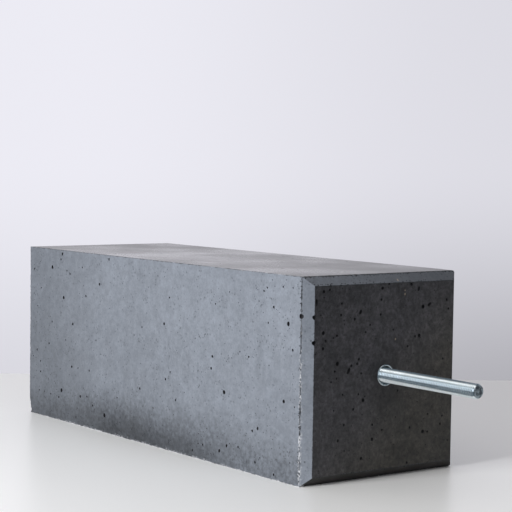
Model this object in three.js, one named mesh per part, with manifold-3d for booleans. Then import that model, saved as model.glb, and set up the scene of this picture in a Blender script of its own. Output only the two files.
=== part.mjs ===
// A cast concrete base block for a column, with the threaded rod that the column is screwed to.
// The block lies on one long side. Sizes are in millimetres, and +Z is up.
// +X runs along the block to the end with the rod. The origin is the centre of the underside.

import * as THREE from 'three';
import { mergeVertices } from 'three/addons/utils/BufferGeometryUtils.js';
import Module from 'manifold-3d';

const wasm = await Module();
wasm.setup();

// The concrete block
const BLOCK_LENGTH = 300;
const BLOCK_WIDTH = 110;
const BLOCK_HEIGHT = 112;
const END_CHAMFER = 5; // at 45 degrees, on the four edges of the end with the rod

// The coarse metric thread of the rod
const THREAD_DIAMETER = 8;
const THREAD_PITCH = 1.25;
const THREAD_DEPTH = 0.6134 * THREAD_PITCH; // depth of an outside thread with a 60 degree profile

// The rod
const ROD_FREE_LENGTH = 71.5; // from the block's end face to the rod's tip
const ROD_SCREWED_IN = 28.5;
const ROD_LENGTH = ROD_FREE_LENGTH + ROD_SCREWED_IN;
const ROD_TIP_BEVEL = 0.5;

// The sleeve that is cast into the block and takes the rod
const SLEEVE_WALL = 1.7;
const SLEEVE_END_WALL = 3;
const ROOM_BEHIND_ROD = 8.5;
const SLEEVE_LENGTH = ROD_SCREWED_IN + ROOM_BEHIND_ROD + SLEEVE_END_WALL;
const MOUTH_STEP = 0.7; // how much wider the mouth is than the bore, on each side
const MOUTH_DEPTH = 4;

// Where the sleeve sits: it was cast in a little off the middle of the end face
const SLEEVE_SIDEWAYS = 0.5;
const SLEEVE_RISE = 0.5;

// The pieces keep this much room between them
const PIECE_GAP = 0.3;

const BORE_RADIUS = THREAD_DIAMETER / 2 + PIECE_GAP;
const SLEEVE_RADIUS = BORE_RADIUS + SLEEVE_WALL;

const ROUND_SIDES = 32;
const THREAD_SIDES = 12;

const CONCRETE = new THREE.MeshStandardMaterial({ color: 0x74797d, roughness: 0.85, metalness: 0 });
const SLEEVE_STEEL = new THREE.MeshStandardMaterial({ color: 0x9aa3a8, roughness: 0.35, metalness: 1 });
const ROD_STEEL = new THREE.MeshStandardMaterial({ color: 0xb9c4c9, roughness: 0.25, metalness: 1 });

// A closed triangle mesh as a solid that can be cut and trimmed
function solidFrom(geometry) {
  const bare = geometry.clone();
  bare.deleteAttribute('normal');
  bare.deleteAttribute('uv');
  const merged = mergeVertices(bare);
  const corners = merged.index.array;
  const triangles = [];
  for (let i = 0; i < corners.length; i += 3) {
    const [a, b, c] = [corners[i], corners[i + 1], corners[i + 2]];
    if (a !== b && b !== c && c !== a) triangles.push(a, b, c);
  }
  return new wasm.Manifold(new wasm.Mesh({
    numProp: 3,
    vertProperties: new Float32Array(merged.attributes.position.array),
    triVerts: new Uint32Array(triangles),
  }));
}

// The solid's surface as a geometry that a mesh can show
function geometryFrom(solid) {
  const { vertProperties, triVerts } = solid.getMesh();
  const geometry = new THREE.BufferGeometry();
  geometry.setAttribute('position', new THREE.BufferAttribute(vertProperties, 3));
  geometry.setIndex(new THREE.BufferAttribute(triVerts, 1));
  geometry.computeVertexNormals();
  return geometry;
}

// A round solid about the X axis, from [x, radius] points that start and end on the axis
function turnedAboutX(outline) {
  const points = outline.map(([x, radius]) => new THREE.Vector2(radius, x));
  return new THREE.LatheGeometry(points, ROUND_SIDES).rotateZ(-Math.PI / 2);
}

// The block: a square-edged prism whose end towards +X is chamfered all round
function chamferedPrism() {
  const geometry = new THREE.BoxGeometry(BLOCK_LENGTH, BLOCK_WIDTH, BLOCK_HEIGHT, 2, 1, 1);
  const position = geometry.attributes.position;
  const endWidthShare = (BLOCK_WIDTH - 2 * END_CHAMFER) / BLOCK_WIDTH;
  const endHeightShare = (BLOCK_HEIGHT - 2 * END_CHAMFER) / BLOCK_HEIGHT;
  for (let i = 0; i < position.count; i += 1) {
    const x = position.getX(i);
    if (x === 0) position.setX(i, BLOCK_LENGTH / 2 - END_CHAMFER);
    if (x > 0) {
      position.setY(i, position.getY(i) * endWidthShare);
      position.setZ(i, position.getZ(i) * endHeightShare);
    }
  }
  return geometry.translate(0, 0, BLOCK_HEIGHT / 2);
}

// The pocket in the block's end that the sleeve fills; it runs past the end face to cut it open
function sleevePocket() {
  const radius = SLEEVE_RADIUS + PIECE_GAP;
  const depth = SLEEVE_LENGTH + PIECE_GAP;
  const past = END_CHAMFER;
  return turnedAboutX([[-depth, 0], [-depth, radius], [past, radius], [past, 0]]);
}

function concreteBlock() {
  const pocket = sleevePocket().translate(...rodAxisAtEndFace().toArray());
  return geometryFrom(solidFrom(chamferedPrism()).subtract(solidFrom(pocket)));
}

// The sleeve: a blind tube, flush with the end face, with a wider mouth round the rod
function threadedSleeve() {
  const mouthRadius = BORE_RADIUS + MOUTH_STEP;
  return turnedAboutX([
    [-SLEEVE_LENGTH, 0],
    [-SLEEVE_LENGTH, SLEEVE_RADIUS],
    [0, SLEEVE_RADIUS],
    [0, mouthRadius],
    [-MOUTH_DEPTH, mouthRadius],
    [-MOUTH_DEPTH - MOUTH_STEP, BORE_RADIUS],
    [SLEEVE_END_WALL - SLEEVE_LENGTH, BORE_RADIUS],
    [SLEEVE_END_WALL - SLEEVE_LENGTH, 0],
  ]);
}

// A bar with a right-hand V thread along +X from x = 0, a little longer than asked.
// Rows of points wind round it half a pitch apart, by turns at the root and at the crest.
function woundThread(length) {
  const rootRadius = THREAD_DIAMETER / 2 - THREAD_DEPTH;
  const crestRadius = THREAD_DIAMETER / 2;
  const rows = 2 * Math.ceil(length / THREAD_PITCH + 3);
  const positions = [];
  for (let row = 0; row < rows; row += 1) {
    const radius = row % 2 === 0 ? rootRadius : crestRadius;
    for (let side = 0; side < THREAD_SIDES; side += 1) {
      const angle = (2 * Math.PI * side) / THREAD_SIDES;
      const x = (row / 2 + side / THREAD_SIDES) * THREAD_PITCH;
      positions.push(x, radius * Math.cos(angle), radius * Math.sin(angle));
    }
  }
  // One side on from the last point of a row is the first point of the row two further on
  const point = (row, side) => (side < THREAD_SIDES ? row * THREAD_SIDES + side : (row + 2) * THREAD_SIDES);
  const triangles = [];
  const lastRow = rows - 3;
  for (let row = 0; row < lastRow; row += 1) {
    for (let side = 0; side < THREAD_SIDES; side += 1) {
      const [a, b] = [point(row, side), point(row, side + 1)];
      const [c, d] = [point(row + 1, side + 1), point(row + 1, side)];
      triangles.push(a, b, c, a, c, d);
    }
  }
  // Each end is closed by a fan from a point on the axis to the edge of the winding
  const closeEnd = (row, axisX, flipped) => {
    const centre = positions.length / 3;
    positions.push(axisX, 0, 0);
    const edge = [];
    for (let side = 0; side <= THREAD_SIDES; side += 1) edge.push(point(row, side));
    edge.push(point(row + 1, 0));
    edge.forEach((from, i) => {
      const to = edge[(i + 1) % edge.length];
      triangles.push(...(flipped ? [centre, to, from] : [centre, from, to]));
    });
  };
  closeEnd(0, -THREAD_PITCH, true);
  closeEnd(lastRow, (rows / 2 + 1) * THREAD_PITCH, false);
  const geometry = new THREE.BufferGeometry();
  geometry.setAttribute('position', new THREE.Float32BufferAttribute(positions, 3));
  geometry.setIndex(triangles);
  return geometry;
}

// The rod: the winding trimmed to length, with a bevel on both ends; x = 0 is its inner end
function threadedRod() {
  const wide = THREAD_DIAMETER / 2 + THREAD_DEPTH;
  const narrow = THREAD_DIAMETER / 2 - ROD_TIP_BEVEL;
  const bevelRun = wide - narrow;
  const trim = turnedAboutX([
    [0, 0],
    [0, narrow],
    [bevelRun, wide],
    [ROD_LENGTH - bevelRun, wide],
    [ROD_LENGTH, narrow],
    [ROD_LENGTH, 0],
  ]);
  const winding = woundThread(ROD_LENGTH + 2 * THREAD_PITCH).translate(-2 * THREAD_PITCH, 0, 0);
  return geometryFrom(solidFrom(winding).intersect(solidFrom(trim)));
}

// The point where the rod's axis passes through the block's end face
function rodAxisAtEndFace() {
  return new THREE.Vector3(BLOCK_LENGTH / 2, SLEEVE_SIDEWAYS, BLOCK_HEIGHT / 2 + SLEEVE_RISE);
}

function namedMesh(name, geometry, material) {
  const mesh = new THREE.Mesh(geometry, material);
  mesh.name = name;
  return mesh;
}

const block = namedMesh('concrete_block', concreteBlock(), CONCRETE);
const sleeve = namedMesh('threaded_sleeve', threadedSleeve(), SLEEVE_STEEL);
const rod = namedMesh('threaded_rod', threadedRod(), ROD_STEEL);
rod.position.x = -ROD_SCREWED_IN;

const insert = new THREE.Group();
insert.position.copy(rodAxisAtEndFace());
insert.add(sleeve, rod);

const baseBlock = new THREE.Group();
baseBlock.add(block, insert);

export default baseBlock;
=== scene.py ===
# %% [markdown]
# # A cast concrete base block with a threaded rod
#
# The real thing is a short column base: dark grey concrete, poured into a smooth mould, with a steel
# sleeve cast into one end and a zinc-plated rod screwed into the sleeve. It lies on one long side.
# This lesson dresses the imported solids. The block keeps its solid's faces exactly, and what makes it
# look like concrete is cut out of it: air holes, crumbly arrises and a few rubbed corners.

# %% Load the fixed frame
import math
import random

import bmesh
import bpy
from mathutils import Matrix, Vector, noise


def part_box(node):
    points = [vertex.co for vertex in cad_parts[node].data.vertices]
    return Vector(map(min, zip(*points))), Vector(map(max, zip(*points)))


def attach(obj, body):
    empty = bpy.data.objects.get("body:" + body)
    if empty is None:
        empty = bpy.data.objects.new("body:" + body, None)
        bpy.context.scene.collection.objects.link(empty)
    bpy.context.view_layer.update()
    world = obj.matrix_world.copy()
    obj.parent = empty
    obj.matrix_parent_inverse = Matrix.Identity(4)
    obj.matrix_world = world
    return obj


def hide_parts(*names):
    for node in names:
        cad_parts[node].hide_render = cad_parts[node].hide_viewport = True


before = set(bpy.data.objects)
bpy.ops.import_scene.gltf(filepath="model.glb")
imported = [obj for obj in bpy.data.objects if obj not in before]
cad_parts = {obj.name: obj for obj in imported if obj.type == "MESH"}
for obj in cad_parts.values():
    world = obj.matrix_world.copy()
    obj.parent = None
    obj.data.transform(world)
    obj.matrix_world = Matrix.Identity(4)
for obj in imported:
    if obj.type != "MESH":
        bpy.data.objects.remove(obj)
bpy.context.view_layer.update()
MM = 0.001

# %% [markdown]
# The large sizes come from the frame's boxes, so the looks follow the solids. A box doesn't show the
# chamfer or the inside of the sleeve, so those sizes are named here once.

# %% Sizes read from the frame
block_low, block_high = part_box("concrete_block")
sleeve_low, sleeve_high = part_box("threaded_sleeve")
rod_low, rod_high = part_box("threaded_rod")
LENGTH, WIDTH, HEIGHT = block_high - block_low
X, Y, Z = Vector((1, 0, 0)), Vector((0, 1, 0)), Vector((0, 0, 1))
SLOPE = math.sqrt(0.5)
ROD_RADIUS = (rod_high.z - rod_low.z) / 2
SLEEVE_RADIUS = (sleeve_high.z - sleeve_low.z) / 2
AXIS = Vector((block_high.x, (rod_low.y + rod_high.y) / 2, (rod_low.z + rod_high.z) / 2))
print("block", LENGTH, WIDTH, HEIGHT, "rod axis meets the end face at", AXIS)

# %% Sizes that the boxes don't show
CHAMFER = 5 * MM
PIECE_GAP = 0.3 * MM
MOUTH_STEP = 0.7 * MM
MOUTH_DEPTH = 4 * MM
SLEEVE_END_WALL = 3 * MM
BORE_RADIUS = ROD_RADIUS + PIECE_GAP
MOUTH_RADIUS = BORE_RADIUS + MOUTH_STEP
# Where along X the chamfer begins
SHOULDER = block_high.x - CHAMFER
print("chamfer", CHAMFER, "bore", round(BORE_RADIUS, 5), "mouth", round(MOUTH_RADIUS, 5))

# %% [markdown]
# ## Camera
#
# The camera was worked out from the block's own edges in the photograph. A long lens far away gives
# the near-parallel lines, and the picture leans by a small roll. The frame is 512 pixels square, so
# the focal length in pixels turns into millimetres on Blender's 36 mm sensor.

# %% Camera at the photograph's viewing angle
PICTURE_SIDE = 512
FOCAL_PIXELS = 1607
SENSOR_WIDTH = 36
CAMERA_PLACE = Vector((0.8068, -0.5779, 0.1753))
CAMERA_AZIMUTH, CAMERA_ELEVATION, CAMERA_ROLL = (math.radians(a) for a in (53.34, 3.58, 0.81))


def direction_from(azimuth, elevation):
    """Unit vector from the object towards a viewer at this azimuth and elevation, in radians."""
    level = math.cos(elevation)
    return Vector((math.sin(azimuth) * level, -math.cos(azimuth) * level, math.sin(elevation)))


def make_camera():
    data = bpy.data.cameras.new("camera")
    data.sensor_width = SENSOR_WIDTH
    data.lens = SENSOR_WIDTH * FOCAL_PIXELS / PICTURE_SIDE
    data.clip_start, data.clip_end = 0.05, 50
    camera = bpy.data.objects.new("camera", data)
    bpy.context.scene.collection.objects.link(camera)
    back = direction_from(CAMERA_AZIMUTH, CAMERA_ELEVATION)
    right = (-back).cross(Z).normalized()
    turn = Matrix.Rotation(-CAMERA_ROLL, 3, -back)
    right = turn @ right
    up = back.cross(right)
    camera.matrix_world = Matrix.Translation(CAMERA_PLACE) @ Matrix((right, up, back)).transposed().to_4x4()
    bpy.context.scene.camera = camera
    print("camera at", tuple(round(v, 3) for v in CAMERA_PLACE), "lens", round(data.lens, 1))


make_camera()
bpy.context.scene.view_settings.view_transform = "Standard"

# %% [markdown]
# ## Table, wall and light
#
# The block was lit like a product: one low, wide, soft light on its long side, a weaker one from above,
# and a pale wall behind. The end face looks into a dim room, so it is nearly black. The wall, ceiling,
# window and room are colours of the world, so they need no geometry. The table ends a little behind
# the block, and the wall shows beyond it.

# %% Small helpers for node trees
def new_material(name):
    material = bpy.data.materials.new(name)
    material.use_nodes = True
    tree = material.node_tree
    shader = next(n for n in tree.nodes if n.type == "BSDF_PRINCIPLED")
    return material, tree, shader


def node(tree, kind, **settings):
    made = tree.nodes.new(kind)
    for name, value in settings.items():
        setattr(made, name, value)
    return made


def feed(tree, socket, value):
    """Sets a socket to a number or colour, or links it to another node's output."""
    if isinstance(value, bpy.types.NodeSocket):
        tree.links.new(value, socket)
    else:
        socket.default_value = value


def maths(tree, operation, *values):
    made = node(tree, "ShaderNodeMath", operation=operation)
    for socket, value in zip(made.inputs, values):
        feed(tree, socket, value)
    return made.outputs[0]


def vector_maths(tree, operation, *values, output=0):
    made = node(tree, "ShaderNodeVectorMath", operation=operation)
    for socket, value in zip(made.inputs, values):
        feed(tree, socket, value)
    return made.outputs[output]


def ramp(tree, value, low, high, to_low=0.0, to_high=1.0):
    """Value from low to high becomes to_low to to_high, in a smooth step, and is clamped beyond them."""
    made = node(tree, "ShaderNodeMapRange", clamp=True, interpolation_type="SMOOTHSTEP")
    for socket, number in zip(made.inputs, (value, low, high, to_low, to_high)):
        feed(tree, socket, number)
    return made.outputs[0]


def mix_colour(tree, share, first, second):
    """The first colour where the share is 0, and the second where it is 1."""
    made = node(tree, "ShaderNodeMix", data_type="RGBA")
    feed(tree, made.inputs["Factor"], share)
    colours = [s for s in made.inputs if s.type == "RGBA"]
    feed(tree, colours[0], first)
    feed(tree, colours[1], second)
    return next(s for s in made.outputs if s.type == "RGBA")


def rgb(red, green, blue):
    return (red, green, blue, 1.0)


# %% World: a pale wall, a soft ceiling, a window behind the camera, and a dim room
FORWARD = -direction_from(CAMERA_AZIMUTH, 0)
TO_LEFT = Z.cross(FORWARD)
TO_WINDOW = Vector((0.93, -0.34, 0.16)).normalized()
WALL_COLOUR = rgb(0.80, 0.795, 0.86)
# Each pair is the soft light that a thing gives off and how light it looks when it is mirrored
CEILING_COLOUR, CEILING_SHEEN = rgb(0.62, 0.605, 0.59), rgb(1.65, 1.62, 1.60)
WINDOW_COLOUR, WINDOW_SHEEN = rgb(0.98, 1.05, 1.15), rgb(1.20, 1.32, 1.44)
ROOM_COLOUR, ROOM_SHEEN = rgb(0.040, 0.038, 0.038), rgb(0.115, 0.145, 0.170)


def make_world():
    world = bpy.data.worlds.new("studio")
    world.use_nodes = True
    tree = world.node_tree
    background = next(n for n in tree.nodes if n.type == "BACKGROUND")
    looking = node(tree, "ShaderNodeTexCoord").outputs["Generated"]
    ahead = vector_maths(tree, "DOT_PRODUCT", looking, tuple(FORWARD), output="Value")
    left = vector_maths(tree, "DOT_PRODUCT", looking, tuple(TO_LEFT), output="Value")
    parts = node(tree, "ShaderNodeSeparateXYZ")
    feed(tree, parts.inputs[0], looking)
    height = parts.outputs["Z"]
    light_path = node(tree, "ShaderNodeLightPath").outputs
    is_glossy, is_camera = light_path["Is Glossy Ray"], light_path["Is Camera Ray"]
    # The wall is brightest at the upper left, and falls off towards the table, more so on the right
    sideways = ramp(tree, left, -0.17, 0.12, 0.90, 1.05)
    fall = ramp(tree, left, 0.15, -0.17, 0.81, 0.56)
    low_down = ramp(tree, height, -0.17, 0.0)
    fade = maths(tree, "MULTIPLY_ADD", low_down, maths(tree, "SUBTRACT", 1.0, fall), fall)
    wall = vector_maths(tree, "SCALE", WALL_COLOUR[:3])
    tree.links.new(maths(tree, "MULTIPLY", sideways, fade), wall.node.inputs["Scale"])
    ceiling = mix_colour(tree, is_glossy, CEILING_COLOUR, CEILING_SHEEN)
    window = mix_colour(tree, is_glossy, WINDOW_COLOUR, WINDOW_SHEEN)
    room = mix_colour(tree, is_glossy, ROOM_COLOUR, ROOM_SHEEN)
    near_side = ramp(tree, parts.outputs["Y"], 0.5, 0.1)
    is_ceiling = maths(tree, "MULTIPLY", ramp(tree, height, 0.54, 0.62), near_side)
    room = mix_colour(tree, is_ceiling, room, ceiling)
    to_window = vector_maths(tree, "DOT_PRODUCT", looking, tuple(TO_WINDOW), output="Value")
    above_table = ramp(tree, height, -0.01, 0.02)
    is_window = maths(tree, "MULTIPLY", ramp(tree, to_window, 0.945, 0.97), above_table)
    room = mix_colour(tree, is_window, room, window)
    # The camera meets the pale wall on every side, and the light comes from where it really is
    is_wall = maths(tree, "MAXIMUM", ramp(tree, ahead, 0.1, 0.75), is_camera)
    tree.links.new(mix_colour(tree, is_wall, room, wall), background.inputs["Color"])
    bpy.context.scene.world = world
    print("world", world.name, "with", len(tree.nodes), "nodes")


make_world()

# %% Table top, ending just behind the block
TABLE_BEHIND = 0.274
TABLE_IN_FRONT = 0.225
TABLE_SIDEWAYS = 2.4
TABLE_THICKNESS = 0.03
# Painted light: the top is painted a little whiter in front, where more light falls; the two colours, and
# where along its depth each of them is reached
TABLE_FRONT_PAINTED_LIGHT, TABLE_FRONT_PAINTED_LIGHT_Y = rgb(0.93, 0.93, 0.92), -0.20
TABLE_BACK_PAINTED_SHADE, TABLE_BACK_PAINTED_SHADE_Y = rgb(0.85, 0.85, 0.84), 0.10


def make_table():
    """A slab whose far edge is square to the camera."""
    bm = bmesh.new()
    bmesh.ops.create_cube(bm, size=1)
    depth = TABLE_BEHIND + TABLE_IN_FRONT
    for v in bm.verts:
        v.co = Vector((v.co.x * 2 * TABLE_SIDEWAYS, v.co.y * depth, (v.co.z - 0.5) * TABLE_THICKNESS))
        v.co.y += TABLE_BEHIND - depth / 2
    mesh = bpy.data.meshes.new("table")
    bm.to_mesh(mesh)
    bm.free()
    table = bpy.data.objects.new("table", mesh)
    bpy.context.scene.collection.objects.link(table)
    table.rotation_euler.z = math.atan2(-FORWARD.x, FORWARD.y)
    material, tree, shader = new_material("table_top")
    parts = node(tree, "ShaderNodeSeparateXYZ")
    feed(tree, parts.inputs[0], node(tree, "ShaderNodeTexCoord").outputs["Object"])
    # Painted light: whiter towards the front of the table
    painted_light_in_front = ramp(tree, parts.outputs["Y"], TABLE_FRONT_PAINTED_LIGHT_Y, TABLE_BACK_PAINTED_SHADE_Y, 1.0, 0.0)
    tree.links.new(mix_colour(tree, painted_light_in_front, TABLE_BACK_PAINTED_SHADE, TABLE_FRONT_PAINTED_LIGHT), shader.inputs["Base Color"])
    shader.inputs["Roughness"].default_value = 0.32
    shader.inputs["Specular IOR Level"].default_value = 0.4
    mesh.materials.append(material)
    print("table", round(depth, 3), "deep, ending", TABLE_BEHIND, "behind the middle of the block")


make_table()

# %% The one lamp: a low, soft panel in front of the long side
KEY_PLACE = Vector((0.14, -1.58, 0.33))
KEY_TARGET = Vector((0, 0, 0.06))
KEY_SIDES = (0.64, 0.50)
KEY_WATTS = 48
KEY_COLOUR = (0.975, 0.985, 1.0)


def make_key_light():
    data = bpy.data.lights.new("key", "AREA")
    data.shape = "RECTANGLE"
    data.size, data.size_y = KEY_SIDES
    data.energy = KEY_WATTS
    data.color = KEY_COLOUR
    light = bpy.data.objects.new("key", data)
    bpy.context.scene.collection.objects.link(light)
    light.location = KEY_PLACE
    light.rotation_mode = "QUATERNION"
    light.rotation_quaternion = (KEY_TARGET - KEY_PLACE).to_track_quat("-Z", "Y")
    # The steel mirrors the window of the world instead of this panel
    light.visible_camera = False
    light.visible_glossy = False
    print("key light", round((KEY_TARGET - KEY_PLACE).length, 2), "from the block")


make_key_light()

# %% [markdown]
# ### The finish of the concrete
#
# Cast concrete is one grey with many small changes in it: clouds a hand wide, finer mottling, sandy
# grain, and pinholes too small to model, painted dark as the shade in them. Faint streaks run down the
# long side, and its foot is darker. Light and shade are painted into the colour as well: the end face
# and the bottom chamfer are painted nearly black as shade, the top lighter as the wall's sheen on it,
# the chamfers lighter where the lamp falls, and the long side darker towards its far end.

# %% Parts of the concrete's colour
def noise_value(tree, place, scale, detail=4, roughness=0.55):
    made = node(tree, "ShaderNodeTexNoise")
    feed(tree, made.inputs["Vector"], place)
    feed(tree, made.inputs["Scale"], scale)
    feed(tree, made.inputs["Detail"], detail)
    feed(tree, made.inputs["Roughness"], roughness)
    return made.outputs["Fac"]


def object_place(tree):
    """Object coordinates, in metres, as a vector and as x, y and z."""
    place = node(tree, "ShaderNodeTexCoord").outputs["Object"]
    parts = node(tree, "ShaderNodeSeparateXYZ")
    feed(tree, parts.inputs[0], place)
    return place, parts.outputs["X"], parts.outputs["Y"], parts.outputs["Z"]


def facing(tree, direction):
    """1 on faces that look along direction, and 0 on the others."""
    normal = node(tree, "ShaderNodeNewGeometry").outputs["True Normal"]
    along = vector_maths(tree, "DOT_PRODUCT", normal, tuple(direction), output="Value")
    return ramp(tree, along, 0.9, 0.98)


def product(tree, *values):
    total = values[0]
    for value in values[1:]:
        total = maths(tree, "MULTIPLY", total, value)
    return total


def only_on(tree, mask, value):
    """The value where the mask is 1, and 1 where it is 0."""
    return maths(tree, "MULTIPLY_ADD", mask, maths(tree, "SUBTRACT", value, 1.0), 1.0)


def wandering(tree, place, value, scale, reach):
    """The value, shifted by noise of this scale by up to about half the reach."""
    shift = maths(tree, "MULTIPLY_ADD", noise_value(tree, place, scale), reach, -reach / 2)
    return maths(tree, "ADD", value, shift)


def bump(tree, shader, height, strength, depth):
    """Small relief that is only shaded, for what is finer than the mesh."""
    made = node(tree, "ShaderNodeBump")
    made.inputs["Strength"].default_value = strength
    made.inputs["Distance"].default_value = depth
    tree.links.new(height, made.inputs["Height"])
    tree.links.new(made.outputs["Normal"], shader.inputs["Normal"])


def long_side_tone(tree, place, x, z):
    """Painted shade towards the far end and painted light towards the rod end, as the lamp's light falls off
    along the side, and darker in a band at the foot, which is deepest at mid length.
    """
    stretched = vector_maths(tree, "MULTIPLY", place, (300, 300, 9))
    streaks = ramp(tree, noise_value(tree, stretched, 1.0, 3), 0.3, 0.7, 0.965, 1.02)
    # Painted shade and light: darker towards the far end and lighter towards the rod end, as the lamp falls
    # off along the side
    far_end_painted_shade = ramp(tree, wandering(tree, place, x, 20, 0.06), -0.15, -0.03, 0.72, 1.0)
    upper = ramp(tree, z, 0.03, 0.10, 0.95, 1.14)
    rod_end = ramp(tree, x, -0.02, 0.06, 0.96, 1.03)
    foot_far = ramp(tree, x, -0.12, -0.04, 0.56, 0.24)
    foot_tone = maths(tree, "ADD", foot_far, ramp(tree, x, 0.01, 0.12, 0.0, 0.40))
    # The band at the foot: darker, with a ragged top and grit in it
    wandered_height = wandering(tree, place, wandering(tree, place, z, 45, 0.016), 380, 0.026)
    rise = ramp(tree, wandered_height, 0.002, ramp(tree, x, -0.13, -0.03, 0.024, 0.035))
    foot_band_grit = ramp(tree, noise_value(tree, place, 330, 4, 0.7), 0.30, 0.70, 0.66, 1.36)
    foot_tone = maths(tree, "MULTIPLY", foot_tone, foot_band_grit)
    foot = maths(tree, "MULTIPLY_ADD", rise, maths(tree, "SUBTRACT", 1.0, foot_tone), foot_tone)
    return product(tree, streaks, far_end_painted_shade, rod_end, upper, foot)


def end_face_tone(tree, place, y, z):
    """Darker low down and to the right, and a painted shadow round and under the sleeve."""
    low = ramp(tree, wandering(tree, place, z, 30, 0.03), 0.01, 0.10, 0.82, 1.06)
    right = ramp(tree, y, -0.03, 0.05, 1.04, 0.94)
    # Painted shadow of the sleeve and rod: darker round the sleeve and drawn down below it
    offset = vector_maths(tree, "SUBTRACT", place, tuple(AXIS - 6 * MM * Z))
    offset = vector_maths(tree, "MULTIPLY", offset, (1.0, 1.0, 0.55))
    away = vector_maths(tree, "LENGTH", offset, output="Value")
    rust_and_painted_shadow = ramp(tree, wandering(tree, place, away, 60, 0.010), 0.004, 0.020, 0.62, 1.0)
    flecks = ramp(tree, noise_value(tree, place, 220, 5, 0.75), 0.30, 0.70, 0.64, 1.40)
    grit = ramp(tree, noise_value(tree, place, 520, 3, 0.7), 0.30, 0.70, 0.72, 1.28)
    patches = ramp(tree, noise_value(tree, place, 55, 3), 0.30, 0.70, 0.78, 1.22)
    return product(tree, low, right, rust_and_painted_shadow, flecks, grit, patches)


def concrete_tone(tree, place, x, y, z):
    """How light the concrete is at each point, about 1, from its clouds, grain, streaks and foot, and from
    painted light and shade on the long side, the end face and the chamfers.
    """
    clouds = ramp(tree, noise_value(tree, place, 14, 3), 0.25, 0.75, 0.94, 1.06)
    mottling = ramp(tree, noise_value(tree, place, 75, 4, 0.6), 0.25, 0.75, 0.94, 1.06)
    blots = ramp(tree, noise_value(tree, place, 260, 3, 0.6), 0.25, 0.75, 0.90, 1.10)
    grain = ramp(tree, noise_value(tree, place, 900, 3, 0.7), 0.2, 0.8, 0.86, 1.14)
    long_side = only_on(tree, facing(tree, -Y), long_side_tone(tree, place, x, z))
    end_face = only_on(tree, facing(tree, X), end_face_tone(tree, place, y, z))
    # Painted light: the chamfers are lighter where the lamp falls, the top one most on its near side
    top_chamfer_painted_light = only_on(tree, facing(tree, (X + Z) * SLOPE), ramp(tree, y, -0.05, 0.05, 1.45, 0.80))
    left_chamfer_painted_light = only_on(tree, facing(tree, (X - Y) * SLOPE), 1.13)
    return product(tree, clouds, mottling, blots, grain, long_side, end_face, top_chamfer_painted_light, left_chamfer_painted_light)


# %% The concrete's materials
CONCRETE = rgb(0.112, 0.123, 0.142)
# Painted reflection: the top face is painted lighter for the wall's sheen at a grazing view
TOP_FACE_PAINTED_SHEEN = rgb(0.158, 0.154, 0.161)
# Painted shade: the end face is painted nearly black, cool at the upper left and warmer at the lower right
END_FACE_PAINTED_SHADE = rgb(0.047, 0.045, 0.050)
END_FACE_PAINTED_SHADE_LOW = rgb(0.043, 0.039, 0.033)
# Painted shade: the bottom chamfer, turned down and away from the light, is painted near black
BOTTOM_CHAMFER_PAINTED_SHADE = rgb(0.016, 0.014, 0.013)
# Painted shade: the inside of a hole is painted near black for the shade in it
HOLE_PAINTED_SHADE, HOLE_PAINTED_SHADE_GRAIN = rgb(0.010, 0.010, 0.011), rgb(0.030, 0.030, 0.033)
# Painted shade: the broken grain of a nicked arris is painted dark for the shade in the nicks
BROKEN_PAINTED_SHADE, BROKEN_PAINTED_SHADE_PALE = rgb(0.012, 0.012, 0.014), rgb(0.075, 0.082, 0.092)
PALE_CRUMB = rgb(0.30, 0.305, 0.32)
RUST = rgb(0.46, 0.36, 0.26)
# Small rusty grains on the end: across and down from the end's top left corner, and how big
RUST_GRAINS = ((64.0, 3.5, 0.9), (68.4, 9.5, 0.5), (68.4, 11.5, 0.7), (62.0, 36.0, 0.6))


def base_colour(tree, place, y, z):
    """The colour of each face of the block, with painted light and shade: nearly black on the end face and
    the bottom chamfer as shade, and lighter on the top as the wall's sheen.
    """
    end_face = facing(tree, X)
    end_mix = ramp(tree, wandering(tree, place, maths(tree, "SUBTRACT", y, z), 25, 0.04), -0.08, 0.0)
    end_painted_shade_colour = mix_colour(tree, end_mix, END_FACE_PAINTED_SHADE, END_FACE_PAINTED_SHADE_LOW)
    colour = mix_colour(tree, facing(tree, Z), CONCRETE, TOP_FACE_PAINTED_SHEEN)
    colour = mix_colour(tree, end_face, colour, end_painted_shade_colour)
    return mix_colour(tree, facing(tree, (X - Z) * SLOPE), colour, BOTTOM_CHAMFER_PAINTED_SHADE)


def rust_grains(tree, place, colour):
    """The colour with a small rusty grain at each of the named places."""
    for across, down, size in RUST_GRAINS:
        grain = Vector((LENGTH / 2, across * MM - WIDTH / 2, HEIGHT - down * MM))
        offset = vector_maths(tree, "SUBTRACT", place, tuple(grain))
        offset = vector_maths(tree, "MULTIPLY", offset, (0.2, 1.0, 0.6))
        away = vector_maths(tree, "LENGTH", offset, output="Value")
        away = wandering(tree, place, away, 900, 0.6 * size * MM)
        rust_and_painted_shadow = ramp(tree, away, 0.7 * size * MM, 0.3 * size * MM, 0.0, 0.9)
        colour = mix_colour(tree, rust_and_painted_shadow, colour, RUST)
    return colour


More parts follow.
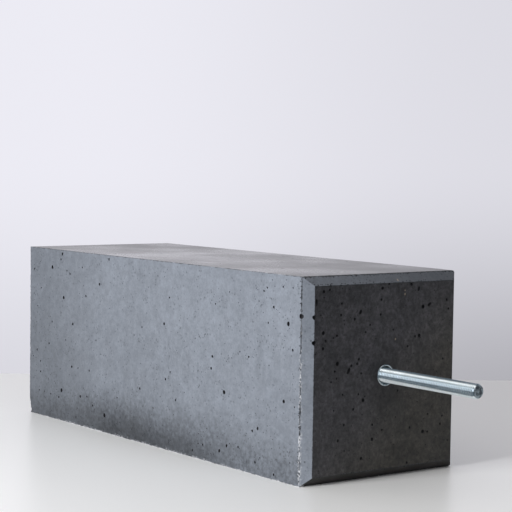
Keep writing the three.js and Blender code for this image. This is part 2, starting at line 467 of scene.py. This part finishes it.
def chalky_bits(tree, place, x, y, z):
    """Pale crumbs on the faces beside the two arrises that catch the light: the foot and the rod end."""
    from_arris = maths(tree, "ABSOLUTE", maths(tree, "SUBTRACT", x, SHOULDER))
    close_to_arris = ramp(tree, from_arris, 2.2 * MM, 0.3 * MM)
    lower_half = ramp(tree, z, 0.090, 0.055)
    near_side = ramp(tree, y, -0.045, -0.052)
    beside_arris = product(tree, close_to_arris, lower_half, near_side)
    close_to_foot = ramp(tree, z, 2.6 * MM, 0.4 * MM)
    off_corner = ramp(tree, x, -0.135, -0.11)
    thin_out = ramp(tree, x, 0.13, 0.06, 0.3, 0.85)
    beside_foot = product(tree, close_to_foot, facing(tree, -Y), off_corner, thin_out)
    beside = maths(tree, "MAXIMUM", beside_arris, beside_foot)
    clusters = ramp(tree, noise_value(tree, place, 110, 3), 0.40, 0.60)
    bits = ramp(tree, maths(tree, "MULTIPLY_ADD", beside, 0.22, noise_value(tree, place, 800, 2)), 0.68, 0.78)
    return product(tree, beside, clusters, bits)


def concrete_material():
    material, tree, shader = new_material("cast_concrete")
    place, x, y, z = object_place(tree)
    specks = node(tree, "ShaderNodeTexVoronoi", feature="F1")
    feed(tree, specks.inputs["Vector"], place)
    feed(tree, specks.inputs["Scale"], 430)
    speck = ramp(tree, specks.outputs["Distance"], 0.12, 0.30, 1.0, 0.0)
    thin_out = ramp(tree, noise_value(tree, place, 90, 2), 0.46, 0.62)
    pinholes = maths(tree, "MULTIPLY", speck, thin_out)
    colour = vector_maths(tree, "SCALE", base_colour(tree, place, y, z))
    tree.links.new(concrete_tone(tree, place, x, y, z), colour.node.inputs["Scale"])
    # Pinholes too small to model are painted dark as the shade in them
    with_specks = mix_colour(tree, maths(tree, "MULTIPLY", pinholes, 0.6), colour, HOLE_PAINTED_SHADE)
    with_specks = mix_colour(tree, chalky_bits(tree, place, x, y, z), with_specks, PALE_CRUMB)
    tree.links.new(rust_grains(tree, place, with_specks), shader.inputs["Base Color"])
    rough = ramp(tree, noise_value(tree, place, 60, 5), 0.3, 0.7, 0.5, 0.66)
    # The top is smoother than the other cast faces, in patches
    top_rough = ramp(tree, noise_value(tree, place, 17, 3), 0.36, 0.64, 0.30, 0.18)
    rod_corner = ramp(tree, maths(tree, "ADD", x, y), 0.0, 0.18, 0.0, 0.10)
    top_rough = maths(tree, "ADD", top_rough, rod_corner)
    top_rough = maths(tree, "ADD", top_rough, ramp(tree, x, -0.03, -0.14, 0.0, 0.08))
    towards_top = maths(tree, "SUBTRACT", top_rough, rough)
    rough = maths(tree, "MULTIPLY_ADD", facing(tree, Z), towards_top, rough)
    tree.links.new(rough, shader.inputs["Roughness"])
    grain = noise_value(tree, place, 700, 4, 0.65)
    bump(tree, shader, maths(tree, "SUBTRACT", grain, pinholes), 0.5, 0.12 * MM)
    return material


def hole_painted_shade_material():
    """The inside of an air hole, painted dark as the shade in it, with a little grain."""
    material, tree, shader = new_material("air_hole_painted_shade")
    place = object_place(tree)[0]
    colour = mix_colour(tree, noise_value(tree, place, 800), HOLE_PAINTED_SHADE, HOLE_PAINTED_SHADE_GRAIN)
    tree.links.new(colour, shader.inputs["Base Color"])
    shader.inputs["Roughness"].default_value = 0.9
    return material


def broken_material():
    """Broken grain, painted dark as the shade in its nicks, with clusters of pale crumbs on the arrises in
    the light.
    """
    material, tree, shader = new_material("broken_arris")
    place, x, y, z = object_place(tree)
    grit = noise_value(tree, place, 900, 3, 0.7)
    # Painted shade of the nicks, darker and lighter with the grit
    dark = mix_colour(tree, ramp(tree, grit, 0.38, 0.66), BROKEN_PAINTED_SHADE, BROKEN_PAINTED_SHADE_PALE)
    near_side = ramp(tree, y, -0.049, -0.0515)
    at_foot = ramp(tree, z, 4 * MM, 1 * MM)
    at_top = ramp(tree, z, HEIGHT - 3 * MM, HEIGHT - 1 * MM)
    lower_half = ramp(tree, z, 0.100, 0.060)
    rod_end = ramp(tree, x, 0.03, 0.13, 0.0, 0.75)
    share = maths(tree, "MAXIMUM", lower_half, maths(tree, "MULTIPLY", at_top, rod_end))
    coarse = maths(tree, "MULTIPLY_ADD", at_foot, 0.16, noise_value(tree, place, 140, 2))
    fine = maths(tree, "MULTIPLY_ADD", at_foot, 0.05, noise_value(tree, place, 640, 2))
    clusters, grains = ramp(tree, coarse, 0.44, 0.56), ramp(tree, fine, 0.46, 0.56)
    off_corner = ramp(tree, x, -0.142, -0.128)
    crumbs = product(tree, clusters, grains, share, near_side, off_corner)
    tree.links.new(mix_colour(tree, crumbs, dark, PALE_CRUMB), shader.inputs["Base Color"])
    shader.inputs["Roughness"].default_value = 0.85
    bump(tree, shader, grit, 0.8, 0.2 * MM)
    return material


BARE, HOLE, BROKEN = 0, 1, 2
CONCRETE_FINISHES = (concrete_material(), hole_painted_shade_material(), broken_material())
print("finishes of the concrete", [finish.name for finish in CONCRETE_FINISHES])

# %% [markdown]
# ## The concrete block
#
# The block could be a bevelled box with a bump map, but then its arrises would be straight and its
# holes painted. Here a plain gridded prism is made first, and everything that time and air did to it
# is then cut away with booleans, as small solids. The manifold solver is quick and keeps the
# cutters' material slots, so the inside of a hole and a broken arris can have finishes of their own,
# which are painted dark as the shade in them.

# %% Mesh helpers
def object_from(bm, name, finishes):
    """The mesh as an object in the scene, with these materials in its slots."""
    mesh = bpy.data.meshes.new(name)
    bm.to_mesh(mesh)
    bm.free()
    for finish in finishes:
        mesh.materials.append(finish)
    made = bpy.data.objects.new(name, mesh)
    bpy.context.scene.collection.objects.link(made)
    return made


def triangle_count(thing):
    return sum(len(p.vertices) - 2 for p in thing.data.polygons)


def apply_modifiers(thing):
    """Works the modifiers of a thing into its mesh."""
    graph = bpy.context.evaluated_depsgraph_get()
    mesh = bpy.data.meshes.new_from_object(thing.evaluated_get(graph))
    thing.modifiers.clear()
    old = thing.data
    thing.data = mesh
    bpy.data.meshes.remove(old)


def boolean(thing, cutter, operation="DIFFERENCE"):
    """Cuts thing with cutter, or trims it to cutter, and removes the cutter."""
    modifier = thing.modifiers.new("cut", "BOOLEAN")
    modifier.solver = "MANIFOLD"
    modifier.operation = operation
    modifier.object = cutter
    apply_modifiers(thing)
    bpy.data.objects.remove(cutter)
    return thing


def lathe(name, outline, sides, centre, finishes):
    """A closed solid turned about the line through centre along X, from (x, radius) pairs."""
    bm = bmesh.new()
    rings = []
    for x, radius in outline:
        if radius == 0:
            rings.append([bm.verts.new((x, 0, 0))])
            continue
        turns = (2 * math.pi * i / sides for i in range(sides))
        rings.append([bm.verts.new((x, radius * math.cos(t), radius * math.sin(t))) for t in turns])
    for first, second in zip(rings, rings[1:]):
        for i in range(sides):
            j = (i + 1) % sides
            corners = [ring[k % len(ring)] for ring, k in ((first, i), (first, j), (second, j), (second, i))]
            bm.faces.new(list(dict.fromkeys(corners)))
    bmesh.ops.recalc_face_normals(bm, faces=bm.faces[:])
    bmesh.ops.translate(bm, verts=bm.verts[:], vec=centre)
    return object_from(bm, name, finishes)


# %% The plain prism, as a grid of small faces
GRID_STEP = 5 * MM
SLANT_LENGTH = CHAMFER / SLOPE
ALONG, ACROSS, UP, SLANT = (round(size / GRID_STEP) for size in (LENGTH, WIDTH, HEIGHT, SLANT_LENGTH))


def add_patch(bm, corners, across, along):
    """A flat four-cornered face as a grid, with this many steps from the first corner to the second
    and on to the third."""
    a, b, c, d = (Vector(p) for p in corners)
    rows = []
    for j in range(along + 1):
        left, right = a.lerp(d, j / along), b.lerp(c, j / along)
        rows.append([bm.verts.new(left.lerp(right, i / across)) for i in range(across + 1)])
    for low, high in zip(rows, rows[1:]):
        for i in range(across):
            bm.faces.new((low[i], low[i + 1], high[i + 1], high[i]))


def rectangle(x, half_width, low, high):
    """Four corners in the plane at x, going round."""
    return [(x, -half_width, low), (x, half_width, low), (x, half_width, high), (x, -half_width, high)]


def make_prism():
    bm = bmesh.new()
    far = rectangle(-LENGTH / 2, WIDTH / 2, 0, HEIGHT)
    shoulder = rectangle(SHOULDER, WIDTH / 2, 0, HEIGHT)
    near = rectangle(LENGTH / 2, WIDTH / 2 - CHAMFER, CHAMFER, HEIGHT - CHAMFER)
    add_patch(bm, far, ACROSS, UP)
    add_patch(bm, near, ACROSS, UP)
    for i in range(4):
        j = (i + 1) % 4
        side_steps = UP if i % 2 else ACROSS
        add_patch(bm, [far[i], far[j], shoulder[j], shoulder[i]], side_steps, ALONG)
        add_patch(bm, [shoulder[i], shoulder[j], near[j], near[i]], side_steps, SLANT)
    bmesh.ops.remove_doubles(bm, verts=bm.verts[:], dist=1e-6)
    bmesh.ops.recalc_face_normals(bm, faces=bm.faces[:])
    print("open edges of the prism", sum(not e.is_manifold for e in bm.edges))
    return object_from(bm, "cast_concrete_block", CONCRETE_FINISHES)


block = make_prism()
print("prism", triangle_count(block), "triangles")

# %% [markdown]
# ### Crumbly arrises
#
# An arris of cast concrete is never a clean line: grains break out of it as the mould comes off.
# Each arris is cut by a thin ribbon with a ragged inner side. The ribbon's width wanders along the
# edge, so the arris is sharp in one place and nibbled in the next.

# %% A ragged ribbon that wears one arris
RIBBON_STEP = 0.8 * MM
# How far a ribbon runs past both ends of its arris, off its faces, and outwards
PAST_END = 1.2 * MM
CLEAR = 0.4 * MM
OUTWARDS = 6 * MM
# The inner side goes from one face to the other through these shares of the width along each
RAGGED_SIDE = ((0.62, 0.08), (0.30, 0.30), (0.08, 0.62))
RAGGEDNESS = 0.16
LEAST_WEAR = 0.04 * MM


def ribbon_width(place, light, nick):
    """How far in the wear reaches here, from a fine and a coarse wander of noise."""
    fine = noise.noise(place * 900)
    coarse = noise.noise(place * 160 + Vector((7, 3, 1)))
    deep = max(0.0, noise.noise(place * 420 + Vector((1, 9, 4))) - 0.32)
    return max(LEAST_WEAR, light * (0.55 + 0.7 * fine + 0.5 * coarse) + nick * deep)


def wear_ribbon(start, end, face_one, face_two, light, nick, extra):
    """A closed ribbon along an arris.

    face_one and face_two are the outward directions of the two faces that meet there, light is the
    wear all along, nick is the size of the deeper bites, and extra, if any, adds to the width by place.
    """
    along = (end - start).normalized()
    in_one = (-face_two - (-face_two).dot(face_one) * face_one).normalized()
    in_two = (-face_one - (-face_one).dot(face_two) * face_two).normalized()
    steps = max(2, round(((end - start).length + 2 * PAST_END) / RIBBON_STEP))
    bm = bmesh.new()
    rings = []
    for i in range(steps + 1):
        edge = (start - along * PAST_END).lerp(end + along * PAST_END, i / steps)
        width = ribbon_width(edge, light, nick)
        if extra:
            width += extra(edge)
        inner = [edge + in_one * width + face_one * CLEAR]
        for k, (one, two) in enumerate(RAGGED_SIDE):
            shake = RAGGEDNESS * width * noise.noise(edge * 2100 + Vector((k * 5, 0, 0)))
            inner.append(edge + in_one * (one * width + shake) + in_two * (two * width + shake))
        inner.append(edge + in_two * width + face_two * CLEAR)
        outer = edge + (face_one + face_two).normalized() * OUTWARDS
        rings.append([bm.verts.new(p) for p in (*inner, outer)])
    for first, second in zip(rings, rings[1:]):
        for i in range(len(first)):
            j = (i + 1) % len(first)
            bm.faces.new((first[i], first[j], second[j], second[i]))
    bm.faces.new(rings[0])
    bm.faces.new(reversed(rings[-1]))
    bmesh.ops.recalc_face_normals(bm, faces=bm.faces[:])
    bmesh.ops.triangulate(bm, faces=bm.faces[:])
    for face in bm.faces:
        face.material_index = BROKEN
    return object_from(bm, "ribbon", CONCRETE_FINISHES)


# %% Every arris of the block
# The outward direction of the underside and of the top
UP_DOWN = (-Z, Z)


def corner_of(x, side, top, inset=0.0):
    """A corner of the block's section at x. side is -1 or 1 along Y, and top is 0 or 1."""
    height = HEIGHT - inset if top else inset
    return Vector((x, side * (WIDTH / 2 - inset), height))


def rubbed(away, reach, width):
    """Extra wear that is widest at a corner and gone at this reach away from it."""
    return width * math.sqrt(1 - min(max(away / reach, 0.0), 1.0))


def worn_corner(place):
    """The bottom corner at the far end of the long side that shows, up its arris."""
    return rubbed(place.z, reach=9 * MM, width=2.6 * MM)


def worn_top_corner(place):
    """The top corner at the rod end of the side turned away, down its arris."""
    return rubbed(HEIGHT - place.z, reach=5 * MM, width=2.0 * MM)


def worn_rod_end(place):
    """The two corners at the rod end of the side turned away, along its long arrises."""
    return rubbed(SHOULDER - place.x, reach=9 * MM, width=1.7 * MM)


def arrises():
    """What wear_ribbon needs for each arris: its two ends, its two faces, its wear and its nicks."""
    far, near = -LENGTH / 2, LENGTH / 2
    found = []

    def add(ends, faces, light, nick, extra=None):
        """Adds an arris, with its wear and its nicks in millimetres."""
        found.append((*ends, *faces, light * MM, nick * MM, extra))

    for side in (-1, 1):
        outward = side * Y
        slant = (outward + X) * SLOPE
        turned_away = side > 0
        for top in (0, 1):
            ends = corner_of(far, side, top), corner_of(SHOULDER, side, top)
            light, nick = (0.55, 1.6) if top else (0.95, 3.0)
            add(ends, (outward, UP_DOWN[top]), light, nick, worn_rod_end if turned_away else None)
        ends = corner_of(far, side, 0), corner_of(far, side, 1)
        add(ends, (outward, -X), 0.8, 1.5, None if turned_away else worn_corner)
        ends = corner_of(SHOULDER, side, 0), corner_of(SHOULDER, side, 1)
        add(ends, (outward, slant), 1.0, 3.4, worn_top_corner if turned_away else None)
        ends = corner_of(near, side, 0, CHAMFER), corner_of(near, side, 1, CHAMFER)
        add(ends, (slant, X), 0.35, 1.2)
    for top in (0, 1):
        outward = UP_DOWN[top]
        slant = (outward + X) * SLOPE
        add((corner_of(far, -1, top), corner_of(far, 1, top)), (outward, -X), 0.4, 1.5)
        ends = corner_of(SHOULDER, -1, top), corner_of(SHOULDER, 1, top)
        add(ends, (outward, slant), 1.7 if top else 1.1, 6.0)
        ends = corner_of(near, -1, top, CHAMFER), corner_of(near, 1, top, CHAMFER)
        add(ends, (slant, X), 0.45, 3.0)
    return found


for arris in arrises():
    boolean(block, wear_ribbon(*arris))
print("after the arrises", triangle_count(block), "triangles")

# %% [markdown]
# ### Air holes
#
# Air that can't rise out of the mix leaves round holes against the mould. The largest ones are listed
# where the photograph shows them, and the small ones are scattered with a fixed seed. Each
# is a dented ball whose centre lies under the face, so the hole is wider inside than at its mouth.

# %% The six large faces
class Face:
    """A flat face to put holes in: a corner, two directions along it and its outward direction."""

    def __init__(self, corner, across, down, size):
        self.corner, self.across, self.down, self.size = corner, across, down, size
        self.outward = -across.cross(down)

    def point(self, u, v, depth):
        """The place this far across, down and under the face."""
        return self.corner + self.across * u + self.down * v - self.outward * depth


RUN = LENGTH - CHAMFER
LONG_SIDE = Face(corner_of(-LENGTH / 2, -1, 1), X, -Z, (RUN, HEIGHT))
BACK_SIDE = Face(corner_of(SHOULDER, 1, 1), -X, -Z, (RUN, HEIGHT))
END_FACE = Face(corner_of(LENGTH / 2, -1, 1), Y, -Z, (WIDTH, HEIGHT))
FAR_FACE = Face(corner_of(-LENGTH / 2, 1, 1), -Y, -Z, (WIDTH, HEIGHT))
TOP_FACE = Face(corner_of(-LENGTH / 2, 1, 1), X, -Y, (RUN, WIDTH))
UNDERSIDE = Face(corner_of(-LENGTH / 2, -1, 0), X, Y, (RUN, WIDTH))
for face in (LONG_SIDE, BACK_SIDE, END_FACE, FAR_FACE, TOP_FACE, UNDERSIDE):
    print("a face that looks along", tuple(face.outward), "of size", face.size)

# %% Balls that cut the holes
chance = random.Random(20)
BETWEEN_HOLES = 0.15 * MM
CLEAR_OF_SLEEVE = 2 * MM
# How deep a ball's centre lies and how far its dents go, as shares of its radius
SUNK = 0.35
DENT = 0.18
# A ball's radius for each radius of the hole that is seen, whose rim is smaller than the sunk ball
BALL_SHARE = 1.25
# Balls under this size are made of fewer faces
SMALL_BALL = 0.42 * MM
# The centre and reach of the sleeve and of every hole so far, so that no two of them meet
taken = [(AXIS, SLEEVE_RADIUS + CLEAR_OF_SLEEVE)]


def is_free(centre, radius):
    return all((centre - other).length > radius + reach + BETWEEN_HOLES for other, reach in taken)


def add_hole(bm, face, u, v, radius, stretch, lean):
    """A dented ball under the face, if there is room. stretch draws it out downwards, and lean turns it."""
    centre = face.point(u, v, SUNK * radius)
    reach = radius * max(1.0, stretch)
    if not is_free(centre, reach):
        return False
    taken.append((centre, reach))
    detail = 1 if radius < SMALL_BALL else 2
    ball = bmesh.ops.create_icosphere(bm, subdivisions=detail, radius=1.0)["verts"]
    turned_down = face.down * math.cos(lean) + face.across * math.sin(lean)
    turned_across = face.across * math.cos(lean) - face.down * math.sin(lean)
    for vert in ball:
        dent = 1 + DENT * noise.noise(vert.co * 1.3 + centre * 3000)
        p = vert.co * dent * radius
        vert.co = centre + turned_across * p.x + turned_down * (p.y * stretch) - face.outward * p.z
    return True


def scatter(bm, face, count, smallest, largest, margin, weight):
    """Holes of many sizes at random places, most of them small."""
    made = 0
    for _ in range(count * 20):
        if made == count:
            break
        u = chance.uniform(margin, face.size[0] - margin)
        v = chance.uniform(margin, face.size[1] - margin)
        if weight and chance.random() > weight(u, v):
            continue
        radius = min(largest, smallest / (1 - chance.random()) ** 0.5)
        made += add_hole(bm, face, u, v, radius, chance.uniform(0.85, 1.25), chance.uniform(-0.6, 0.6))
    return made


# %% The holes that stand out in the photograph
# Each is (across, down, radius) in millimetres from the face's top left corner, as the camera sees it.
LONG_SIDE_HOLES = [
    (30, 12, 1.0), (43, 2.5, 0.8), (49, 13, 0.5), (53, 15, 0.5), (101, 2.6, 0.7), (90, 19, 0.8),
    (45, 31, 1.0), (57, 47, 0.7), (164, 37, 0.8), (30, 48, 0.5), (214, 51, 0.7), (213, 58, 0.65),
    (226, 70, 1.05), (171, 65, 0.5), (138, 79, 0.7), (177, 81, 0.6), (56, 75, 0.75), (64, 75, 0.5),
    (78, 75, 0.55), (43, 92, 1.15), (67, 93, 0.8), (97, 101, 1.2), (284, 26, 1.0), (271, 18, 0.7),
    (294.7, 21, 1.1), (265, 8, 0.5), (262, 10, 0.5), (279, 6.5, 0.45), (281, 68, 0.9), (258, 86, 0.75),
    (253, 88, 0.65), (229, 100, 0.7), (222, 104, 0.8), (240, 99, 0.55), (256, 105, 0.6), (273, 109, 0.6),
    (112, 88, 0.5),
]
END_FACE_HOLES = [
    (21, 47, 1.0), (82, 19, 1.0), (73, 6.3, 0.75), (11, 30, 0.9), (12.7, 34.3, 0.6), (11, 38.3, 0.7),
    (11, 8, 0.7), (15, 7.2, 0.6), (18, 33, 0.5), (23, 21, 0.6), (51, 22, 0.6), (40.5, 31, 0.5),
    (36, 45.5, 0.65), (39.5, 68, 0.9), (32.6, 72.4, 0.65), (46.3, 82, 0.6), (46.3, 90, 0.8),
    (38.7, 99.7, 0.75), (83.6, 89, 0.95), (73.6, 86, 0.6), (79.5, 35, 0.85), (71, 40.5, 0.6),
    (98, 81.5, 0.5), (87, 79.5, 0.5), (25, 64, 0.5), (36, 64.5, 0.5), (5.2, 21.5, 1.0), (5.2, 35, 1.1),
    (52, 7.7, 0.8), (56.7, 5.6, 0.6),
]
# Long holes, where a bubble was drawn out: (across, down, radius, stretch, lean)
END_FACE_LONG_HOLES = [
    (36.6, 20, 0.8, 1.6, -0.45), (29, 51.3, 0.8, 2.0, -0.5), (86.8, 18, 0.8, 1.7, -1.0),
    (78.5, 9, 0.65, 1.9, -0.2), (6.2, 13.5, 0.6, 3.0, 0.1),
]
print("set by hand", len(LONG_SIDE_HOLES), "holes on the long side,",
      len(END_FACE_HOLES) + len(END_FACE_LONG_HOLES), "on the end face")


# %% The holes of one face, and the pits beside one arris
# The smallest and largest radius of the scattered holes, and how far they stay off the arrises
SMALL_HOLES = (0.28 * MM, 0.75 * MM, 2 * MM)
TINY_HOLES = (0.18 * MM, 0.32 * MM, 1 * MM)


def arris_pits(start, end, along_face, count, largest):
    """Small holes beside an arris on the face that runs off along_face, fewer towards its end."""
    bm = bmesh.new()
    for _ in range(count):
        share = chance.random() ** 1.5
        place = start.lerp(end, share) + along_face * chance.uniform(0.3, 1.3) * MM
        radius = chance.uniform(0.30 * MM, largest)
        if is_free(place, radius):
            taken.append((place, radius))
            ball = bmesh.ops.create_icosphere(bm, subdivisions=1, radius=radius)["verts"]
            bmesh.ops.translate(bm, verts=ball, vec=place)
    for polygon in bm.faces:
        polygon.material_index = HOLE
    return object_from(bm, "pits", CONCRETE_FINISHES)


def low_down(u, v):
    """More small holes towards the foot of the long side and towards its two ends."""
    ends = abs(u / LENGTH - 0.45) * 1.3
    return min(1.0, 0.25 + ends + 0.6 * (v / HEIGHT) ** 3)


def holes_of(face, hand_set, long_set, small, tiny, weight=None):
    """The holes listed, then this many small ones and this many tiny ones."""
    bm = bmesh.new()
    made = 0
    for u, v, radius in hand_set:
        stretch, lean = chance.uniform(0.95, 1.2), chance.uniform(-0.5, 0.5)
        made += add_hole(bm, face, u * MM, v * MM, BALL_SHARE * radius * MM, stretch, lean)
    for u, v, radius, stretch, lean in long_set:
        made += add_hole(bm, face, u * MM, v * MM, BALL_SHARE * radius * MM, stretch, lean)
    made += scatter(bm, face, small, *SMALL_HOLES, weight)
    made += scatter(bm, face, tiny, *TINY_HOLES, weight)
    for polygon in bm.faces:
        polygon.material_index = HOLE
    print(made, "holes on the face that looks along", tuple(face.outward))
    return object_from(bm, "holes", CONCRETE_FINISHES)


# %% Cut the holes, face by face
boolean(block, holes_of(LONG_SIDE, LONG_SIDE_HOLES, [], 110, 620, low_down))
boolean(block, holes_of(END_FACE, END_FACE_HOLES, END_FACE_LONG_HOLES, 110, 330))
boolean(block, holes_of(BACK_SIDE, [], [], 90, 300, low_down))
boolean(block, holes_of(TOP_FACE, [], [], 25, 150))
boolean(block, holes_of(FAR_FACE, [], [], 40, 150))
boolean(block, holes_of(UNDERSIDE, [], [], 60, 150))
top_shoulder = corner_of(SHOULDER, -1, 1), corner_of(SHOULDER, 1, 1)
top_inner = corner_of(LENGTH / 2, -1, 1, CHAMFER), corner_of(LENGTH / 2, 1, 1, CHAMFER)
near_shoulder = corner_of(SHOULDER, -1, 1), corner_of(SHOULDER, -1, 0)
boolean(block, arris_pits(*top_shoulder, (X - Z) * SLOPE, 90, 0.55 * MM))
boolean(block, arris_pits(*top_inner, (Z - X) * SLOPE, 45, 0.5 * MM))
boolean(block, arris_pits(*near_shoulder, -X, 50, 0.45 * MM))
print("after the holes", triangle_count(block), "triangles")

# %% The pocket that the sleeve fills
# The room between the sleeve and the concrete, and the sides of what is round and mostly hidden
SEAT = 0.05 * MM
ROUND_SIDES = 64
pocket_depth = sleeve_high.x - sleeve_low.x + SEAT
pocket_outline = [
    (-pocket_depth, 0), (-pocket_depth, SLEEVE_RADIUS + SEAT), (CHAMFER, SLEEVE_RADIUS + SEAT), (CHAMFER, 0),
]
boolean(block, lathe("pocket", pocket_outline, ROUND_SIDES, AXIS, CONCRETE_FINISHES))
print("with the pocket", triangle_count(block), "triangles")

# %% Shade the block, attach it to the root and hide its solid
# The sharp edges are marked before the faces are set smooth or flat, because marking sets all smooth
block.data.set_sharp_from_angle(angle=math.radians(45))
block.data.polygons.foreach_set("use_smooth", [p.material_index != BARE for p in block.data.polygons])
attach(block, "root")
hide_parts("concrete_block")

# %% [markdown]
# ## The sleeve
#
# A thin turned tube, flush with the end face. Its lip is half round, so it catches the window on
# one side and stays dim on top. It is turned from one outline, like the real one.

# %% Zinc plating
SAWN_DARK, SAWN_LIGHT = rgb(0.12, 0.135, 0.15), rgb(0.55, 0.62, 0.66)


def zinc_material(name, base, roughness):
    """Plated steel, with painted shade in the root of the thread. The rod's sawn tip is bare and dull."""
    material, tree, shader = new_material(name)
    place, x, _, _ = object_place(tree)
    cloud = ramp(tree, noise_value(tree, place, 260), 0.3, 0.7)
    plated = mix_colour(tree, cloud, base, rgb(*(0.90 * c for c in base[:3])))
    off_axis = vector_maths(tree, "SUBTRACT", place, tuple(AXIS))
    off_axis = vector_maths(tree, "MULTIPLY", off_axis, (0.0, 1.0, 1.0))
    radius = vector_maths(tree, "LENGTH", off_axis, output="Value")
    # Painted shade in the root of the thread
    root_painted_shade = ramp(tree, radius, ROD_RADIUS - 0.7 * MM, ROD_RADIUS - 0.3 * MM, 0.35, 0.0)
    plated = mix_colour(tree, root_painted_shade, plated, rgb(*(0.18 * c for c in base[:3])))
    marks = ramp(tree, noise_value(tree, place, 420), 0.42, 0.60)
    sawn = mix_colour(tree, marks, SAWN_DARK, SAWN_LIGHT)
    near_tip = ramp(tree, x, rod_high.x - 2 * MM, rod_high.x - 1 * MM)
    at_tip = maths(tree, "MULTIPLY", facing(tree, X), near_tip)
    tree.links.new(mix_colour(tree, at_tip, plated, sawn), shader.inputs["Base Color"])
    worn = ramp(tree, noise_value(tree, place, 500, 3), 0.3, 0.7, roughness, roughness + 0.04)
    tree.links.new(maths(tree, "MULTIPLY_ADD", at_tip, 0.15, worn), shader.inputs["Roughness"])
    shader.inputs["Metallic"].default_value = 1.0
    return material


SLEEVE_ZINC = zinc_material("dull_zinc", rgb(0.66, 0.74, 0.78), 0.24)
ROD_ZINC = zinc_material("bright_zinc", rgb(0.80, 0.87, 0.90), 0.14)
print("finishes of the steel", SLEEVE_ZINC.name, ROD_ZINC.name)

# %% Turn the sleeve
LIP_STEPS = 8
SLEEVE_SIDES = 96


def make_sleeve():
    depth = sleeve_high.x - sleeve_low.x
    lip = (SLEEVE_RADIUS - MOUTH_RADIUS) / 2
    turns = [math.pi * i / LIP_STEPS for i in range(LIP_STEPS + 1)]
    outline = [
        (-depth, 0), (-depth, SLEEVE_RADIUS),
        *((lip * (math.sin(t) - 1), SLEEVE_RADIUS - lip + lip * math.cos(t)) for t in turns),
        (-MOUTH_DEPTH, MOUTH_RADIUS), (-MOUTH_DEPTH - MOUTH_STEP, BORE_RADIUS),
        (SLEEVE_END_WALL - depth, BORE_RADIUS), (SLEEVE_END_WALL - depth, 0),
    ]
    sleeve = lathe("steel_sleeve", outline, SLEEVE_SIDES, AXIS, [SLEEVE_ZINC])
    sleeve.data.polygons.foreach_set("use_smooth", [True] * len(sleeve.data.polygons))
    sleeve.data.set_sharp_from_angle(angle=math.radians(30))
    return sleeve


sleeve = make_sleeve()
print("sleeve", triangle_count(sleeve), "triangles")

# %% [markdown]
# ## The threaded rod
#
# The thread could be rings, but a real one winds. Rows of points follow the helix, so one face
# strip runs from end to end, and the winding is then trimmed to length by a bevelled bar.

# %% Wind the thread
PITCH = 1.25 * MM
# An outside thread with 60 degrees between its flanks is this deep
THREAD_DEPTH = 0.6134 * PITCH
SIDES = 40
SPARE_TURNS = 2
# Places along one pitch and how far in from the crest, as shares: a flat crest, a flank, a round root,
# and the other flank up to the next crest
PROFILE = (
    (0.0, 0.0), (0.125, 0.0), (0.4375, 0.88), (0.49, 0.975), (0.5625, 1.0), (0.635, 0.975), (0.6875, 0.88),
)


def winding_rows(turns):
    """(place along the rod, radius) of each row of points at the start of its turn."""
    return [
        ((turn + share) * PITCH, ROD_RADIUS - depth * THREAD_DEPTH)
        for turn in range(turns)
        for share, depth in PROFILE
    ]


def make_winding(length):
    """A closed bar with a right-hand thread along X, longer than asked by the spare turns at each end."""
    turns = math.ceil(length / PITCH) + 2 * SPARE_TURNS
    rows = winding_rows(turns)
    per_turn = len(PROFILE)
    bm = bmesh.new()
    points = []
    for along, radius in rows:
        ring = []
        for i in range(SIDES):
            angle = 2 * math.pi * i / SIDES
            x = along + (i / SIDES - SPARE_TURNS) * PITCH
            ring.append(bm.verts.new((x, radius * math.cos(angle), radius * math.sin(angle))))
        points.append(ring)

    def point(row, side):
        """One side on from the last point of a row is the first point of the row one turn further."""
        return points[row][side] if side < SIDES else points[row + per_turn][0]

    last = len(rows) - per_turn - 1
    for row in range(last):
        for side in range(SIDES):
            near, far = row, row + 1
            corners = (near, side), (near, side + 1), (far, side + 1), (far, side)
            bm.faces.new([point(*corner) for corner in corners])
    for row, x in ((0, -2 * SPARE_TURNS * PITCH), (last, length + 2 * SPARE_TURNS * PITCH)):
        middle = bm.verts.new((x, 0, 0))
        loop = [point(row, side) for side in range(SIDES + 1)]
        loop += [points[row + k][0] for k in range(per_turn - 1, 0, -1)]
        for i, first in enumerate(loop):
            bm.faces.new((middle, first, loop[(i + 1) % len(loop)]))
    bmesh.ops.recalc_face_normals(bm, faces=bm.faces[:])
    return object_from(bm, "zinc_plated_rod", [ROD_ZINC])


# %% Trim the winding to length
TIP_BEVEL = 0.5 * MM
TRIM_ROOM = 0.4 * MM


def make_rod():
    length = rod_high.x - rod_low.x
    narrow, wide = ROD_RADIUS - TIP_BEVEL, ROD_RADIUS + TRIM_ROOM
    run = wide - narrow
    outline = [(0, 0), (0, narrow), (run, wide), (length - run, wide), (length, narrow), (length, 0)]
    trim = lathe("trim", outline, ROUND_SIDES, Vector((0, 0, 0)), [ROD_ZINC])
    rod = boolean(make_winding(length), trim, "INTERSECT")
    rod.data.transform(Matrix.Translation((rod_low.x, AXIS.y, AXIS.z)))
    rod.data.polygons.foreach_set("use_smooth", [True] * len(rod.data.polygons))
    rod.data.set_sharp_from_angle(angle=math.radians(20))
    return rod


rod = make_rod()
print("rod", triangle_count(rod), "triangles")

# %% Attach the two steel pieces and hide their solids
for piece, cad_node, slot_name in (
    (sleeve, "threaded_sleeve", "sleeve_steel"),
    (rod, "threaded_rod", "rod_steel"),
):
    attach(piece, "root")
    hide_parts(cad_node)

# %% [markdown]
# ## The triangle counts
#
# The triangles of the three dressed pieces are printed.

# %% Print the triangle counts
print("block", triangle_count(block), "sleeve", triangle_count(sleeve), "rod", triangle_count(rod))
